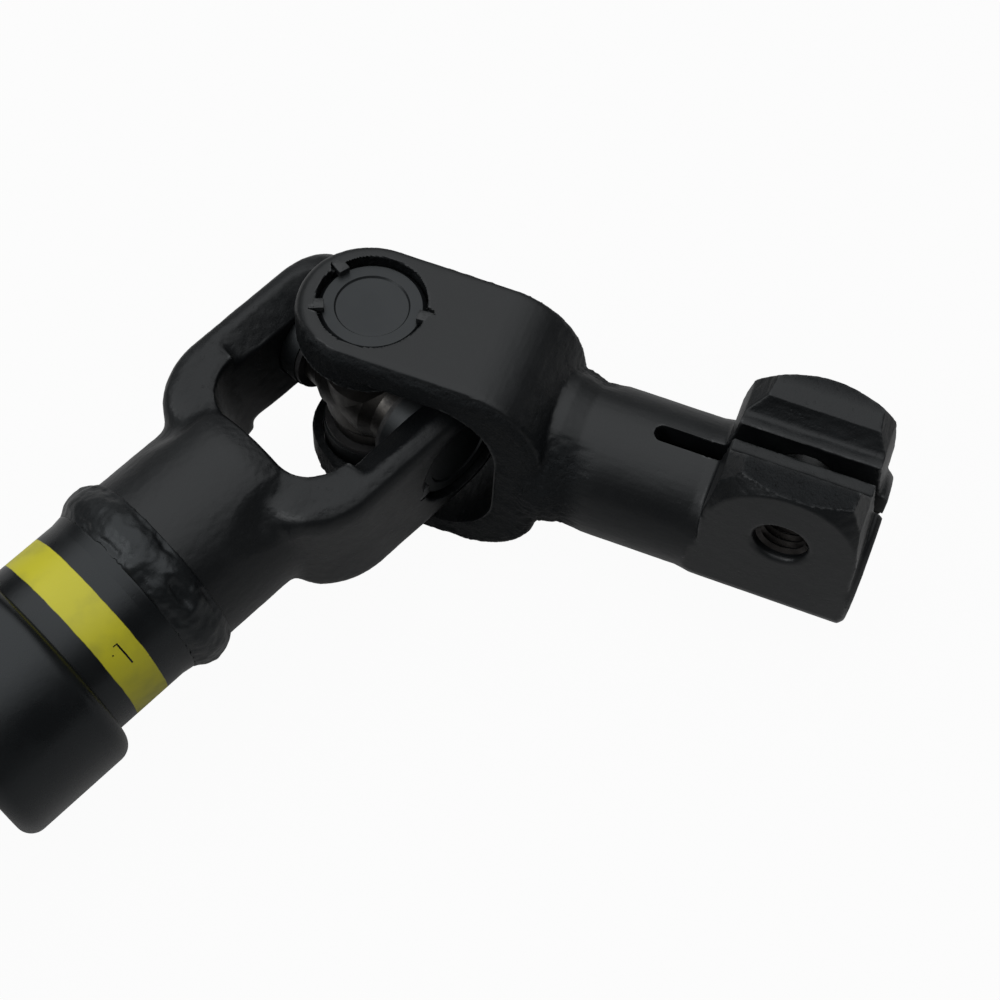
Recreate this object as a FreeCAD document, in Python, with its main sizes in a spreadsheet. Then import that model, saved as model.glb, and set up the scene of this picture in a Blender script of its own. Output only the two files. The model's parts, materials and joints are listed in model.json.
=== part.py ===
import FreeCAD, Part
import math
import os
import re
import Sketcher
from FreeCAD import Vector, Rotation, Placement

# Intermediate steering shaft: two universal joints on a telescopic splined shaft.
# Millimetres. The shaft's axis runs along X, the photographed joint is at the +X end,
# and +Z is up, away from the surface that the shaft lies on.

document = FreeCAD.newDocument("steering_shaft")
sheet = document.addObject("Spreadsheet::Sheet", "sizes")

# Driving dimensions, one for each row of the sheet
drivingSizes = {
    # bearings and cross
    "cup_radius": 10.33,
    "cup_press_gap": 0.02,
    "cup_wall": 1.45,
    "cup_floor": 1.25,
    "cup_recess": 2.8,
    "cup_depth": 10.4,
    "cup_ring_radius": 7.6,
    "cup_ring_depth": 0.35,
    "cup_round": 0.9,
    "needle_radius": 1.2,
    "needle_gap": 0.04,
    "needle_length": 7.0,
    "needle_end_gap": 0.2,
    "needle_count": 18,
    "trunnion_radius": 6.4,
    "trunnion_end_gap": 0.15,
    "trunnion_chamfer": 0.6,
    "collar_radius": 8.4,
    "collar_height": 11.0,
    "core_radius": 9.6,
    "core_half": 5.5,
    "core_taper": 2.5,
    "seal_radius": 10.0,
    "seal_height": 1.1,
    "seal_gap": 0.15,
    "seal_lip": 1.0,
    # forks of both yokes
    "ear_face": 25.4,
    "ear_radius": 14.6,
    "boss_face": 15.6,
    "boss_overlap": 0.2,
    "cut_clear": 0.5,
    # clamp yoke
    "clamp_shoulder_end": 39.8,
    "clamp_shoulder_round": 16.6,
    "clamp_ear_round": 2.8,
    "clamp_window_half": 18.8,
    "clamp_window_end": 30.6,
    "clamp_window_round": 12.5,
    "neck_start": 32.6,
    "neck_start_radius": 13.0,
    "neck_flare_start": 37.0,
    "neck_flare_end": 40.5,
    "neck_flare_radius": 16.0,
    "neck_radius": 14.9,
    "neck_root_end": 44.5,
    "barrel_radius": 15.4,
    "barrel_rise": 3.0,
    "barrel_start": 71.0,
    "barrel_end": 101.6,
    "barrel_chamfer": 1.0,
    "flat_run_in": 1.5,
    "lug_half_width": 14.64,
    "lug_strip_half": 4.6,
    "lug_strip_height": 23.6,
    "lug_step_half": 7.2,
    "lug_step_height": 27.8,
    "lug_top_height": 29.2,
    "lug_bottom": -4.2,
    "lug_foot_start": 71.5,
    "lug_back": 70.2,
    "lug_strip_start": 71.4,
    "lug_top_start": 75.8,
    "lug_top_end": 95.3,
    "lug_strip_end": 98.4,
    "lug_nose": 99.8,
    "lug_end": 100.6,
    "lug_cut_margin": 4.0,
    "bolt_along": 85.5,
    "bolt_height": 14.2,
    "seat_radius": 14.2,
    "seat_cone_degrees": 39.0,
    "seat_cone_depth": 9.0,
    "seat_cut_reach": 25.0,
    "thread_radius": 5.0,
    "bolt_clearance": 0.4,
    "thread_chamfer": 0.7,
    "slit_width": 3.5,
    "slit_start": 57.0,
    "slit_end_share": 0.97,
    "spline_bore_radius": 10.0,
    "spline_bore_depth": 50.0,
    # tube yoke
    "tube_shoulder_end": 40.0,
    "tube_shoulder_round": 17.0,
    "tube_ear_round": 4.0,
    "tube_window_half": 15.9,
    "tube_window_end": 29.4,
    "tube_window_round": 9.0,
    "arm_blend": 2.5,
    "hub_radius": 18.7,
    "hub_start": 28.0,
    "hub_nose_drop": 4.0,
    "hub_shoulder": 30.0,
    "hub_shoulder_drop": 1.2,
    "hub_full": 33.5,
    "hub_end": 59.2,
    "hub_chamfer": 1.2,
    "hub_bore_gap": 0.5,
    "hub_bore_depth": 19.0,
    "ear_bevel_width": 4.0,
    "ear_bevel_rise": 6.2,
    "ear_bevel_end": 19.5,
    # telescopic shaft
    "cross_spacing": 240.0,
    "tube_radius": 18.3,
    "tube_wall": 5.7,
    "tube_root_step": 0.1,
    "tube_taper": 2.0,
    "tube_length": 42.0,
    "spline_depth": 1.2,
    "spline_gap": 0.1,
    "spline_lead": 2.4,
    "spline_count": 20,
    "spline_tip_share": 0.4,
    "spline_root_share": 0.6,
    "shaft_tip": 63.0,
    "shaft_flange_length": 9.0,
    "shaft_flare_length": 4.0,
    "shaft_collar_length": 9.0,
    "shaft_collar_rise": 1.5,
    "shaft_spline_overlap": 3.0,
    "bead_half_width": 4.9,
    "bead_height": 2.4,
    "bead_gap": 0.02,
    "bead_foot_half": 1.1,
    "bead_foot_depth": 1.0,
    "cap_overlap": 19.6,
    "cap_rise": 4.4,
    "cap_round": 3.4,
    "cap_wall": 2.0,
    "cap_lip": 0.6,
    "cap_fit_gap": 0.05,
    "cap_mouth_gap": 0.5,
    "wiper_gap": 0.3,
    "wiper_lip": 1.0,
    "wiper_width": 2.9,
    "wiper_play": 0.2,
    "wiper_end_gap": 0.3,
    # rest pose, degrees
    "joint_roll": 2.4,
    "upper_tilt": 6.7,
    "upper_swing": -66.0,
    "lower_tilt": 7.0,
    "lower_swing": 32.0,
}
# Sizes that follow from the driving ones, kept in the same sheet as formulas
derivedSizes = {
    "cup_inside": "cup_radius - cup_wall",
    "cup_end": "ear_face - cup_recess",
    "cup_mouth": "cup_end - cup_depth",
    "trunnion_tip": "cup_end - cup_floor - trunnion_end_gap",
    "tube_root_radius": "hub_radius - tube_root_step",
    "spline_tip_radius": "tube_radius - tube_wall",
    "tube_end": "hub_end + tube_length",
    "shaft_end": "cross_spacing - hub_end",
    "cap_seat": "tube_radius + cap_fit_gap",
    "cap_start": "tube_end - cap_overlap",
    "wiper_start": "tube_end + wiper_end_gap",
    "cap_end": "wiper_start + wiper_width + wiper_play + cap_wall",
}
sheetRows = {**drivingSizes, **{alias: "=" + formula for alias, formula in derivedSizes.items()}}
for row, (alias, content) in enumerate(sheetRows.items(), start=1):
    sheet.set(f"A{row}", alias)
    sheet.set(f"B{row}", str(content))
    sheet.setAlias(f"B{row}", alias)
document.recompute()

xAxis = Vector(1, 0, 0)
yAxis = Vector(0, 1, 0)
zAxis = Vector(0, 0, 1)


def size(formula):
    return float(sheet.evalExpression(formula))


def bound(formula):
    # the same formula as a document expression, each alias read from the sheet
    return re.sub("[a-z_]+", lambda word: f"sizes.{word[0]}" if word[0] in sheetRows else word[0], formula)


def newBody(label):
    body = document.addObject("PartDesign::Body", label)
    body.Label = label
    return body


def newSketch(body, name, role, offset="0"):
    plane = [item for item in body.Origin.OriginFeatures if item.Role == role][0]
    sketch = body.newObject("Sketcher::SketchObject", name)
    sketch.AttachmentSupport = [(plane, "")]
    sketch.MapMode = "FlatFace"
    sketch.setExpression("AttachmentOffset.Base.z", bound(offset))
    return sketch


def bindPoint(sketch, line, end, across, up):
    # dimension one sketch point from the origin by two formulas
    for kind, formula in (("DistanceX", across), ("DistanceY", up)):
        index = sketch.addConstraint(
            Sketcher.Constraint(kind, -1, 1, line, end, size(formula)))
        sketch.setExpression(f"Constraints[{index}]", bound(formula))


def drawPolygon(sketch, corners):
    # closed outline, each corner given by two formulas
    first = sketch.GeometryCount
    count = len(corners)
    places = [Vector(size(across), size(up), 0) for across, up in corners]
    for index in range(count):
        segment = Part.LineSegment(places[index], places[(index + 1) % count])
        sketch.addGeometry(segment, False)
    for index in range(count):
        following = first + (index + 1) % count
        sketch.addConstraint(Sketcher.Constraint("Coincident", first + index, 2, following, 1))
    for index, (across, up) in enumerate(corners):
        bindPoint(sketch, first + index, 1, across, up)


def drawCircle(sketch, across, up, radius):
    centre = Vector(size(across), size(up), 0)
    circle = sketch.addGeometry(Part.Circle(centre, zAxis, size(radius)), False)
    bindPoint(sketch, circle, 3, across, up)
    index = sketch.addConstraint(Sketcher.Constraint("Radius", circle, size(radius)))
    sketch.setExpression(f"Constraints[{index}]", bound(radius))


def pad(body, sketch, length, both=False, backwards=False):
    feature = body.newObject("PartDesign::Pad", sketch.Name + "_pad")
    feature.Profile = sketch
    feature.setExpression("Length", bound(length))
    feature.Midplane = both
    feature.Reversed = backwards
    document.recompute()
    return feature


def checkCut(body, feature, before):
    if body.Shape.Volume >= before:
        raise RuntimeError(f"{feature.Name} removes nothing")


def pocket(body, sketch, length, both=False, backwards=False):
    before = body.Shape.Volume
    feature = body.newObject("PartDesign::Pocket", sketch.Name + "_pocket")
    feature.Profile = sketch
    feature.setExpression("Length", bound(length))
    feature.Midplane = both
    feature.Reversed = backwards
    document.recompute()
    checkCut(body, feature, before)
    return feature


def revolve(body, sketch, axis, degrees="360", cut=False, backwards=False):
    kind = "PartDesign::Groove" if cut else "PartDesign::Revolution"
    before = body.Shape.Volume if cut else math.inf
    feature = body.newObject(kind, sketch.Name + "_turned")
    feature.Profile = sketch
    feature.ReferenceAxis = (sketch, [axis])
    feature.setExpression("Angle", bound(degrees))
    feature.Reversed = backwards
    document.recompute()
    checkCut(body, feature, before)
    return feature


def edgesWhere(shape, test):
    names = []
    for index, edge in enumerate(shape.Edges, start=1):
        middle = edge.valueAt((edge.FirstParameter + edge.LastParameter) / 2)
        if test(middle):
            names.append(f"Edge{index}")
    return names


def fillet(body, name, radius, test):
    base = body.Tip
    feature = body.newObject("PartDesign::Fillet", name)
    feature.Base = (base, edgesWhere(base.Shape, test))
    feature.setExpression("Radius", bound(radius))
    document.recompute()
    return feature


def chamfer(body, name, width, test):
    base = body.Tip
    feature = body.newObject("PartDesign::Chamfer", name)
    feature.Base = (base, edgesWhere(base.Shape, test))
    feature.setExpression("Size", bound(width))
    document.recompute()
    return feature


def near(first, second):
    return math.isclose(first, second, abs_tol=0.02)


# Forks


def makeEars(body, shoulderEnd, shoulderRound, earRound):
    # the fork's solid blank: two flat ears with round ends and round shoulders
    blank = newSketch(body, body.Label + "_blank", "XZ_Plane")
    drawPolygon(blank, [
        ("-ear_radius", "-ear_face"),
        (shoulderEnd, "-ear_face"),
        (shoulderEnd, "ear_face"),
        ("-ear_radius", "ear_face"),
    ])
    pad(body, blank, "2 * ear_radius", both=True)
    earFace = size("ear_face")
    earRadius = size("ear_radius")
    endPlace = size(shoulderEnd)
    fillet(body, body.Label + "_shoulders", shoulderRound,
           lambda p: near(p.x, endPlace) and near(abs(p.z), earFace))
    corners = newSketch(body, body.Label + "_ear_ends", "XY_Plane")
    outer = 2 * earRadius
    arc = Part.ArcOfCircle(Part.Circle(Vector(0, 0, 0), zAxis, earRadius), math.pi / 2, 3 * math.pi / 2)
    corners.addGeometry(arc, False)
    corners.addConstraint(Sketcher.Constraint("Coincident", 0, 3, -1, 1))
    index = corners.addConstraint(Sketcher.Constraint("Radius", 0, earRadius))
    corners.setExpression(f"Constraints[{index}]", bound("ear_radius"))
    path = [Vector(0, -earRadius, 0), Vector(0, -outer, 0), Vector(-outer, -outer, 0),
            Vector(-outer, outer, 0), Vector(0, outer, 0), Vector(0, earRadius, 0)]
    for start, end in zip(path, path[1:]):
        corners.addGeometry(Part.LineSegment(start, end), False)
    for line in range(1, 5):
        corners.addConstraint(Sketcher.Constraint("Coincident", line, 2, line + 1, 1))
    corners.addConstraint(Sketcher.Constraint("Coincident", 0, 2, 1, 1))
    corners.addConstraint(Sketcher.Constraint("Coincident", 5, 2, 0, 1))
    corners.addConstraint(Sketcher.Constraint("PointOnObject", 1, 1, -2))
    bindPoint(corners, 1, 2, "0", "-2 * ear_radius")
    bindPoint(corners, 2, 2, "-2 * ear_radius", "-2 * ear_radius")
    bindPoint(corners, 3, 2, "-2 * ear_radius", "2 * ear_radius")
    bindPoint(corners, 4, 2, "0", "2 * ear_radius")
    corners.addConstraint(Sketcher.Constraint("PointOnObject", 5, 2, -2))
    pocket(body, corners, "4 * ear_face", both=True)
    flatEnd = endPlace - size(shoulderRound)
    fillet(body, body.Label + "_ear_edges", earRound,
           lambda p: (near(abs(p.z), earFace) and (near(abs(p.y), earRadius) or p.x < -1))
           or (near(abs(p.y), earRadius) and p.x > flatEnd))


def cutWindow(body, half, end, corner, depth):
    # the gap between the ears, open towards the other yoke, with two round corners
    gap = newSketch(body, body.Label + "_window", "XZ_Plane")
    halfGap = size(half)
    endPlace = size(end)
    radius = size(corner)
    far = -3 * size("ear_radius")
    straight = endPlace - radius
    inner = halfGap - radius
    quarter = math.pi / 2
    gap.addGeometry(Part.LineSegment(Vector(far, halfGap, 0), Vector(straight, halfGap, 0)), False)
    upperCorner = Part.Circle(Vector(straight, inner, 0), zAxis, radius)
    gap.addGeometry(Part.ArcOfCircle(upperCorner, 0, quarter), False)
    gap.addGeometry(Part.LineSegment(Vector(endPlace, inner, 0), Vector(endPlace, -inner, 0)), False)
    lowerCorner = Part.Circle(Vector(straight, -inner, 0), zAxis, radius)
    gap.addGeometry(Part.ArcOfCircle(lowerCorner, -quarter, 0), False)
    gap.addGeometry(Part.LineSegment(Vector(straight, -halfGap, 0), Vector(far, -halfGap, 0)), False)
    gap.addGeometry(Part.LineSegment(Vector(far, -halfGap, 0), Vector(far, halfGap, 0)), False)
    for first, firstEnd, second, secondEnd in ((0, 2, 1, 2), (1, 1, 2, 1), (2, 2, 3, 2), (3, 1, 4, 1)):
        gap.addConstraint(Sketcher.Constraint("Tangent", first, firstEnd, second, secondEnd))
    gap.addConstraint(Sketcher.Constraint("Coincident", 4, 2, 5, 1))
    gap.addConstraint(Sketcher.Constraint("Coincident", 5, 2, 0, 1))
    for line in (0, 4):
        gap.addConstraint(Sketcher.Constraint("Horizontal", line))
    for line in (2, 5):
        gap.addConstraint(Sketcher.Constraint("Vertical", line))
    for kind, place, formula in (("Radius", (1,), corner), ("Radius", (3,), corner),
                                 ("DistanceY", (-1, 1, 0, 1), half),
                                 ("DistanceY", (-1, 1, 4, 2), f"-{half}"),
                                 ("DistanceX", (-1, 1, 2, 1), end),
                                 ("DistanceX", (-1, 1, 5, 1), "-3 * ear_radius")):
        index = gap.addConstraint(Sketcher.Constraint(kind, *place, size(formula)))
        gap.setExpression(f"Constraints[{index}]", bound(formula))
    pocket(body, gap, depth, both=True)


def boreEars(body):
    bore = newSketch(body, body.Label + "_cup_bore", "XY_Plane")
    drawCircle(bore, "0", "0", "cup_radius + cup_press_gap")
    pocket(body, bore, "4 * ear_face", both=True)


# Clamp yoke


def makeNeck(body):
    # neck, its swelling root and the clamp's barrel, turned about the yoke's axis
    neck = newSketch(body, body.Label + "_neck", "XZ_Plane")
    drawPolygon(neck, [
        ("neck_start", "0"),
        ("neck_start", "neck_start_radius"),
        ("neck_flare_start", "neck_flare_radius"),
        ("neck_flare_end", "neck_flare_radius"),
        ("neck_root_end", "neck_radius"),
        ("barrel_start - barrel_rise", "neck_radius"),
        ("barrel_start", "barrel_radius"),
        ("barrel_end - barrel_chamfer", "barrel_radius"),
        ("barrel_end", "barrel_radius - barrel_chamfer"),
        ("barrel_end", "0"),
    ])
    revolve(body, neck, "H_Axis")


def makeLugs(body):
    # both lugs as one block, later parted by the slit
    outline = newSketch(body, body.Label + "_lugs", "XZ_Plane")
    drawPolygon(outline, [
        ("lug_foot_start", "lug_bottom"),
        ("lug_back", "bolt_height"),
        ("lug_strip_start", "lug_strip_height"),
        ("lug_top_start", "lug_top_height"),
        ("lug_top_end", "lug_top_height"),
        ("lug_strip_end", "lug_strip_height"),
        ("lug_nose", "bolt_height"),
        ("lug_end", "lug_bottom"),
    ])
    pad(body, outline, "2 * lug_half_width", both=True)
    valley = newSketch(body, body.Label + "_valley", "YZ_Plane", "barrel_start - lug_cut_margin")
    drawPolygon(valley, [
        ("-lug_strip_half", "lug_strip_height"),
        ("lug_strip_half", "lug_strip_height"),
        ("lug_step_half", "lug_step_height"),
        ("lug_half_width", "lug_top_height"),
        ("lug_half_width", "2 * lug_top_height"),
        ("-lug_half_width", "2 * lug_top_height"),
        ("-lug_half_width", "lug_top_height"),
        ("-lug_step_half", "lug_step_height"),
    ])
    pocket(body, valley, "barrel_end - barrel_start + 2 * lug_cut_margin", backwards=True)


def roundLugs(body):
    # a cone about the bolt's axis leaves a round seat on each lug
    cone = newSketch(body, body.Label + "_seat_cone", "XY_Plane", "bolt_height")
    cone.setExpression("AttachmentOffset.Base.x", bound("bolt_along"))
    slope = "tan(90 - seat_cone_degrees)"
    for side in ("", "-"):
        drawPolygon(cone, [
            (f"seat_radius - cut_clear * {slope}", f"{side}(lug_half_width + cut_clear)"),
            (f"seat_radius + seat_cone_depth * {slope}", f"{side}(lug_half_width - seat_cone_depth)"),
            ("seat_radius + seat_cut_reach", f"{side}(lug_half_width - seat_cone_depth)"),
            ("seat_radius + seat_cut_reach", f"{side}(lug_half_width + cut_clear)"),
        ])
    revolve(body, cone, "V_Axis", "180", cut=True, backwards=True)


def flattenSides(body):
    # milled flats on both sides of the barrel, level with the lugs' outer faces
    flats = newSketch(body, body.Label + "_flats", "XY_Plane", "-barrel_radius - cut_clear")
    for side in ("", "-"):
        drawPolygon(flats, [
            ("barrel_start - flat_run_in", f"{side}lug_half_width"),
            ("lug_end", f"{side}lug_half_width"),
            ("lug_end", f"{side}(barrel_radius + cut_clear)"),
            ("barrel_start - flat_run_in", f"{side}(barrel_radius + cut_clear)"),
        ])
    pocket(body, flats, "lug_top_height + barrel_radius + 2 * cut_clear", backwards=True)


def boreClamp(body):
    bore = newSketch(body, body.Label + "_spline_bore", "YZ_Plane", "barrel_end")
    drawCircle(bore, "0", "0", "spline_bore_radius")
    pocket(body, bore, "spline_bore_depth")
    slit = newSketch(body, body.Label + "_slit", "XY_Plane")
    drawPolygon(slit, [
        ("slit_start", "-slit_width / 2"),
        ("barrel_end + cut_clear", "-slit_width / 2"),
        ("barrel_end + cut_clear", "slit_width / 2"),
        ("slit_start", "slit_width / 2"),
    ])
    pocket(body, slit, "lug_top_height + cut_clear", backwards=True)
    start = size("slit_start")
    half = size("slit_width / 2")
    fillet(body, body.Label + "_slit_end", "slit_end_share * slit_width / 2",
           lambda p: near(p.x, start) and near(abs(p.y), half))


def drillBoltHoles(body):
    thread = newSketch(body, body.Label + "_thread_hole", "XZ_Plane")
    drawCircle(thread, "bolt_along", "bolt_height", "thread_radius")
    pocket(body, thread, "2 * lug_half_width", backwards=True)
    passage = newSketch(body, body.Label + "_bolt_hole", "XZ_Plane")
    drawCircle(passage, "bolt_along", "bolt_height", "thread_radius + bolt_clearance")
    pocket(body, passage, "2 * lug_half_width")
    side = size("lug_half_width")
    centre = Vector(size("bolt_along"), 0, size("bolt_height"))
    aroundHole = size("seat_radius") / 2
    chamfer(body, body.Label + "_thread_mouth", "thread_chamfer",
            lambda p: near(abs(p.y), side) and (Vector(p.x, 0, p.z) - centre).Length < aroundHole)


def makeClampYoke(label):
    body = newBody(label)
    makeEars(body, "clamp_shoulder_end", "clamp_shoulder_round", "clamp_ear_round")
    makeNeck(body)
    makeLugs(body)
    roundLugs(body)
    flattenSides(body)
    cutWindow(body, "clamp_window_half", "clamp_window_end", "clamp_window_round", "4 * ear_radius")
    for name, side in (("_upper_boss", ""), ("_lower_boss", "-")):
        boss = newSketch(body, label + name, "XY_Plane", side + "boss_face")
        drawCircle(boss, "0", "0", "ear_radius")
        pad(body, boss, "clamp_window_half - boss_face + boss_overlap", backwards=side == "-")
    boreEars(body)
    boreClamp(body)
    drillBoltHoles(body)
    return body


# Tube yoke


def blendArms(body):
    # where each arm's outside runs into the hub
    hubRadius = size("hub_radius")
    hubFull = size("hub_full")
    shoulderEnd = size("tube_shoulder_end")
    fillet(body, body.Label + "_arm_blend", "arm_blend",
           lambda p: near(math.hypot(p.y, p.z), hubRadius) and not near(p.x, hubFull)
           and hubFull < p.x < shoulderEnd)


def makeTubeYoke(label):
    body = newBody(label)
    makeEars(body, "tube_shoulder_end", "tube_shoulder_round", "tube_ear_round")
    hub = newSketch(body, label + "_hub", "XZ_Plane")
    drawPolygon(hub, [
        ("hub_start", "0"),
        ("hub_start", "hub_radius - hub_nose_drop"),
        ("hub_shoulder", "hub_radius - hub_shoulder_drop"),
        ("hub_full", "hub_radius"),
        ("hub_end - hub_chamfer", "hub_radius"),
        ("hub_end", "hub_radius - hub_chamfer"),
        ("hub_end", "0"),
    ])
    revolve(body, hub, "H_Axis")
    blendArms(body)
    cutWindow(body, "tube_window_half", "tube_window_end", "tube_window_round", "4 * hub_radius")
    bevel = newSketch(body, label + "_ear_bevels", "YZ_Plane", "ear_bevel_end")
    for side in ("", "-"):
        for level in ("", "-"):
            drawPolygon(bevel, [
                (f"{side}(ear_radius - ear_bevel_width)", f"{level}tube_window_half"),
                (f"{side}(ear_radius + cut_clear)", f"{level}(tube_window_half + ear_bevel_rise)"),
                (f"{side}(ear_radius + cut_clear)", f"{level}tube_window_half"),
            ])
    pocket(body, bevel, "ear_bevel_end + 2 * ear_radius")
    boreEars(body)
    bore = newSketch(body, label + "_bore", "YZ_Plane", "hub_end")
    drawCircle(bore, "0", "0", "spline_tip_radius + hub_bore_gap")
    pocket(body, bore, "hub_bore_depth")
    return body


# Cross, bearing cups, needles and seals


def trunnionProfile():
    # half section of one pair of trunnions: the tips, the collars and the core between them
    upperHalf = [
        ("0", "trunnion_tip"),
        ("trunnion_radius - trunnion_chamfer", "trunnion_tip"),
        ("trunnion_radius", "trunnion_tip - trunnion_chamfer"),
        ("trunnion_radius", "collar_height"),
        ("collar_radius", "collar_height"),
        ("collar_radius", "core_half + core_taper"),
        ("core_radius", "core_half"),
    ]
    return upperHalf + [(across, f"-({up})") for across, up in reversed(upperHalf)]


def makeCross(label):
    body = newBody(label)
    upright = newSketch(body, label + "_upright", "YZ_Plane")
    drawPolygon(upright, trunnionProfile())
    revolve(body, upright, "V_Axis")
    level = newSketch(body, label + "_level", "YZ_Plane")
    drawPolygon(level, [(up, across) for across, up in trunnionProfile()])
    revolve(body, level, "H_Axis")
    return body


def makeCup(label):
    # drawn steel cup, closed end outwards, with a shallow ring pressed in its end
    body = newBody(label)
    section = newSketch(body, label + "_section", "XZ_Plane")
    drawPolygon(section, [
        ("0", "cup_end - cup_ring_depth"),
        ("cup_ring_radius", "cup_end - cup_ring_depth"),
        ("cup_ring_radius + cup_ring_depth", "cup_end"),
        ("cup_radius - cup_round", "cup_end"),
        ("cup_radius", "cup_end - cup_round"),
        ("cup_radius", "cup_mouth"),
        ("cup_inside", "cup_mouth"),
        ("cup_inside", "cup_end - cup_floor"),
        ("0", "cup_end - cup_floor"),
    ])
    revolve(body, section, "V_Axis")
    return body


def makeSeal(label):
    # ring seal over the cup's mouth, its lip close to the trunnion
    body = newBody(label)
    section = newSketch(body, label + "_section", "XZ_Plane")
    drawPolygon(section, [
        ("trunnion_radius + seal_gap", "cup_mouth - seal_height"),
        ("seal_radius", "cup_mouth - seal_height"),
        ("seal_radius", "cup_mouth"),
        ("cup_inside - cup_press_gap", "cup_mouth"),
        ("cup_inside - cup_press_gap", "cup_mouth + seal_height"),
        ("trunnion_radius + seal_lip", "cup_mouth + seal_height"),
    ])
    revolve(body, section, "V_Axis")
    return body


def makeNeedles(label):
    # one full ring of separate needles between the trunnion and the cup's wall
    body = newBody(label)
    body.AllowCompound = True
    foot = "cup_end - cup_floor - needle_end_gap - needle_length"
    first = newSketch(body, label + "_first", "XY_Plane", foot)
    drawCircle(first, "trunnion_radius + needle_gap + needle_radius", "0", "needle_radius")
    needle = pad(body, first, "needle_length")
    ring = body.newObject("PartDesign::PolarPattern", label + "_ring")
    ring.Originals = [needle]
    ring.Axis = (first, ["N_Axis"])
    ring.Angle = 360
    ring.setExpression("Occurrences", bound("needle_count"))
    body.Tip = ring
    document.recompute()
    return body


# Telescopic shaft


def splineOutline(widen):
    # a closed outline of straight-sided teeth, each point moved outwards by the amount given
    count = int(size("spline_count"))
    pitch = 2 * math.pi / count
    tip = size("spline_tip_radius") + widen
    root = tip - size("spline_depth")
    tipHalf = size("spline_tip_share") * pitch / 2 + widen / tip
    rootHalf = size("spline_root_share") * pitch / 2 + widen / tip
    points = []
    for tooth in range(count):
        for half, reach in ((-rootHalf, root), (-tipHalf, tip), (tipHalf, tip), (rootHalf, root)):
            angle = tooth * pitch + half
            points.append(Vector(0, reach * math.cos(angle), reach * math.sin(angle)))
    return Part.Face(Part.makePolygon(points + points[:1]))


def addFeature(label, shape):
    feature = document.addObject("Part::Feature", label)
    feature.Label = label
    feature.Shape = shape
    return feature


def atSection(along, radius):
    return Vector(size(along), 0, size(radius))


def turned(sections):
    # a solid of revolution about X from (along, radius) corners, each given by two formulas
    points = [atSection(along, radius) for along, radius in sections]
    return Part.Face(Part.makePolygon(points + points[:1])).revolve(Vector(0, 0, 0), xAxis, 360)


def makeSlipTube():
    # its welded root matches the hub, and tapers to the tube's own radius past the bead
    blank = turned([
        ("hub_end", "0"),
        ("hub_end", "tube_root_radius - hub_chamfer"),
        ("hub_end + hub_chamfer", "tube_root_radius"),
        ("hub_end + bead_half_width", "tube_root_radius"),
        ("hub_end + bead_half_width + tube_taper", "tube_radius"),
        ("tube_end - hub_chamfer", "tube_radius"),
        ("tube_end", "tube_radius - hub_chamfer"),
        ("tube_end", "0"),
    ])
    broach = splineOutline(size("spline_gap")).extrude(Vector(size("tube_length + 2 * cut_clear"), 0, 0))
    broach.translate(Vector(size("hub_end - cut_clear"), 0, 0))
    return addFeature("slip_tube", blank.cut(broach).removeSplitter())


def makeSlipShaft():
    flange = "shaft_end - shaft_flange_length"
    collar = f"{flange} - shaft_collar_length"
    length = size(f"{collar} + shaft_spline_overlap - shaft_tip")
    spline = splineOutline(0).extrude(Vector(length, 0, 0))
    spline.translate(Vector(size("shaft_tip"), 0, 0))
    pointed = turned([
        ("shaft_tip", "0"),
        ("shaft_tip", "spline_tip_radius - spline_depth"),
        ("shaft_tip + spline_lead", "spline_tip_radius + cut_clear"),
        ("shaft_end", "spline_tip_radius + cut_clear"),
        ("shaft_end", "0"),
    ])
    back = turned([
        (collar, "0"),
        (collar, "spline_tip_radius - spline_depth"),
        (f"{collar} + shaft_collar_rise", "spline_tip_radius"),
        (f"{flange} - shaft_flare_length", "spline_tip_radius"),
        (flange, "tube_root_radius"),
        ("shaft_end - hub_chamfer", "tube_root_radius"),
        ("shaft_end", "tube_root_radius - hub_chamfer"),
        ("shaft_end", "0"),
    ])
    return addFeature("slip_shaft", spline.common(pointed).fuse(back).removeSplitter())


def makeBead(label):
    # a lens-shaped ring of weld metal over the butt joint, with a foot in the groove
    seat = "hub_radius + bead_gap"
    left = atSection("-bead_half_width", seat)
    right = atSection("bead_half_width", seat)
    crown = Part.Arc(left, atSection("0", f"{seat} + bead_height"), right).toShape()
    foot = Part.makePolygon([
        right,
        atSection("bead_foot_half", seat),
        atSection("0", f"{seat} - bead_foot_depth"),
        atSection("-bead_foot_half", seat),
        left,
    ])
    face = Part.Face(Part.Wire(crown.Edges + foot.Edges))
    return addFeature(label, face.revolve(Vector(0, 0, 0), xAxis, 360))


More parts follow.
